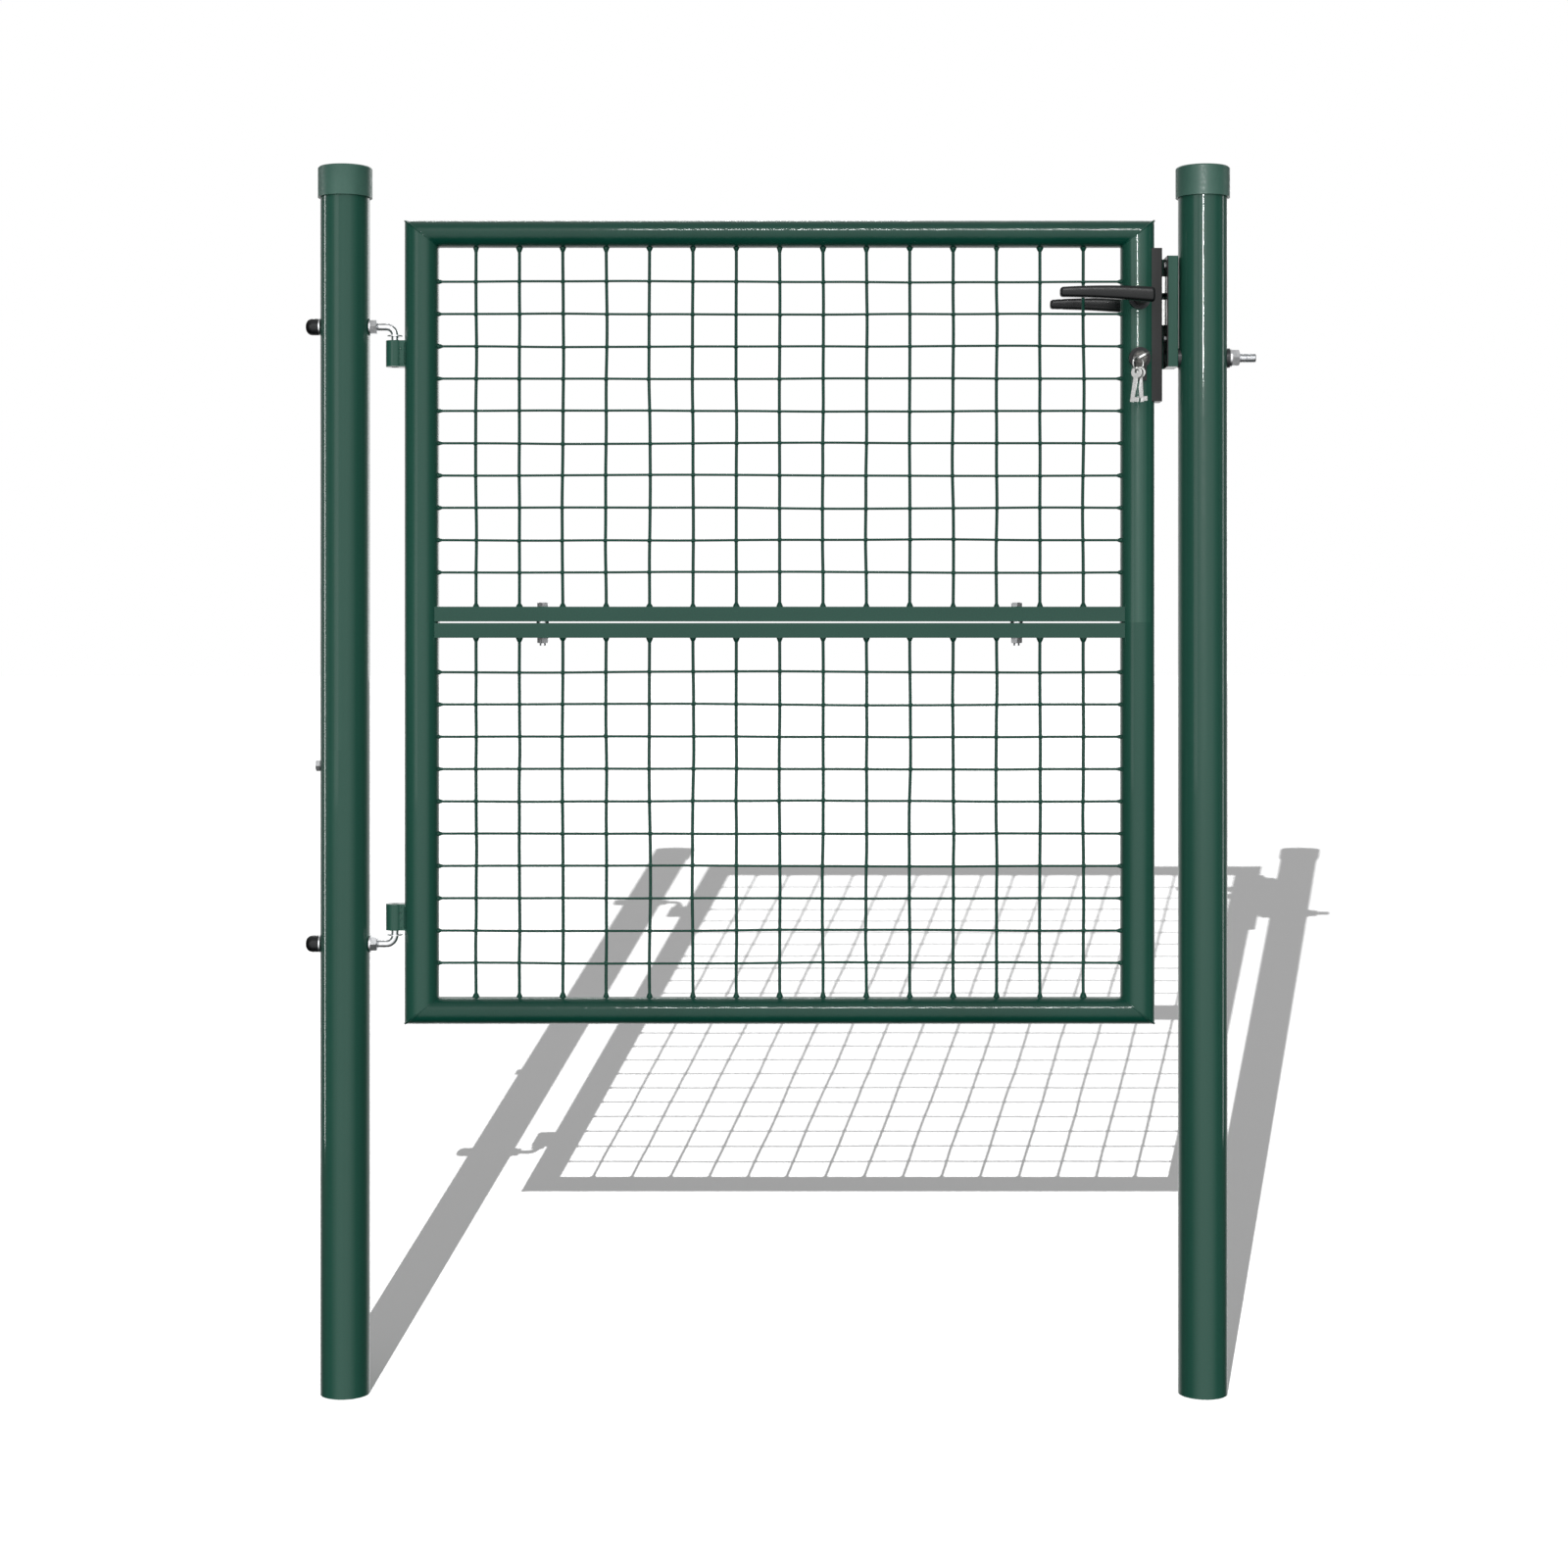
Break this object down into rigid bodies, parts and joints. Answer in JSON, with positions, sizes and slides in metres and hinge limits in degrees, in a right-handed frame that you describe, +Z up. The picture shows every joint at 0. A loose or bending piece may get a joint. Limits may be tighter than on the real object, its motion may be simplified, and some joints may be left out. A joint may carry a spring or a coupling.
{
  "type": "livestock panel gate",
  "caption": "Single-leaf welded mesh gate on round posts with caps, adjustable hinge bolts, lever lock, latch, deadbolt, keys and post keeper.",
  "frame": {"origin": "centre of the hinge post's bottom end", "axes": "+Z up along the hinge post, +X towards the latch post, -Y towards the user the leaf opens to"},
  "size_m": [1.1624, 0.134, 1.5],
  "materials": {
    "green_coat": "glossy moss green powder coat",
    "green_plastic": "satin green moulded plastic",
    "zinc": "bright zinc plate",
    "black_plastic": "satin black nylon",
    "black_coat": "satin black coat on steel",
    "nickel": "nickel plate"
  },
  "bodies": {
    "posts": {"hinge_post_lower": "green_coat", "hinge_post_upper": "green_coat", "hinge_post_sleeve": "zinc", "hinge_post_cap": "green_plastic", "latch_post_lower": "green_coat", "latch_post_upper": "green_coat", "latch_post_sleeve": "zinc", "latch_post_cap": "green_plastic", "sleeve_bolts": "zinc", "sleeve_nuts": "zinc", "upper_hinge_bolt": "zinc", "lower_hinge_bolt": "zinc", "hinge_nuts": "zinc", "hinge_washers": "zinc", "hinge_nut_caps": "black_plastic", "hinge_pin_washers": "zinc", "keeper_box": "green_coat", "strike_plate": "black_coat", "strike_screws": "zinc", "keeper_stop": "green_coat", "keeper_bolt": "zinc", "keeper_saddle_washers": "black_plastic", "keeper_washer": "zinc", "keeper_nut": "zinc"},
    "leaf": {"top_rail": "green_coat", "bottom_rail": "green_coat", "upper_hinge_stile": "green_coat", "upper_lock_stile": "green_coat", "lower_hinge_stile": "green_coat", "lower_lock_stile": "green_coat", "upper_mid_rail": "green_coat", "lower_mid_rail": "green_coat", "stile_spigots": "zinc", "leaf_bolts": "zinc", "leaf_nuts": "zinc", "leaf_gap_washers": "zinc", "upper_hinge_barrel": "green_coat", "lower_hinge_barrel": "green_coat", "upper_upright_wires": "green_coat", "upper_cross_wires": "green_coat", "lower_upright_wires": "green_coat", "lower_cross_wires": "green_coat", "lock_case": "zinc", "lock_faceplate": "black_coat", "faceplate_screws": "zinc", "latch_spring": "zinc", "lever_bushes": "black_plastic", "lock_cylinder": "nickel", "cylinder_escutcheons": "black_plastic"},
    "handle": {"front_lever": "black_plastic", "rear_lever": "black_plastic", "spindle": "zinc", "spindle_hub": "zinc", "lever_grub_screws": "zinc"},
    "latch": {"latch_bolt": "nickel"},
    "deadbolt": {"deadbolt": "nickel"},
    "key": {"cylinder_plug": "nickel", "key_in_lock": "nickel"},
    "key_bunch": {"key_ring": "nickel", "spare_keys": "nickel"}
  },
  "joints": [
    {"name": "leaf_swing", "type": "hinge", "parent": "posts", "child": "leaf", "pos_m": [0.061, 0, 0.93], "axis": [0, 0, -1], "range_deg": [0, 110]},
    {"name": "handle_turn", "type": "hinge", "parent": "leaf", "child": "handle", "pos_m": [0.97, 0, 1.337], "axis": [0, -1, 0], "range_deg": [0, 40], "stiffness_Nm_per_rad": 0.8, "springref_deg": -28.65},
    {"name": "latch_slide", "type": "slide", "parent": "leaf", "child": "latch", "axis": [-1, 0, 0], "range_m": [0, 0.0076], "deforming": ["latch_spring"]},
    {"name": "key_turn", "type": "hinge", "parent": "leaf", "child": "key", "pos_m": [0.97, -0.027, 1.265], "axis": [0, 1, 0], "range_deg": [-62, 100]},
    {"name": "deadbolt_slide", "type": "slide", "parent": "leaf", "child": "deadbolt", "axis": [1, 0, 0], "range_m": [-0.00713, 0.0115]},
    {"name": "bunch_swing", "type": "hinge", "parent": "key", "child": "key_bunch", "pos_m": [0.96735, -0.045, 1.26359], "axis": [0, 1, 0], "range_deg": [-6, 15]}
  ],
  "couplings": [
    {"joint": "latch_slide", "follows": "handle_turn", "m_per_rad": 0.010743},
    {"joint": "key_turn", "follows": "deadbolt_slide", "rad_per_m": 151.77}
  ]
}
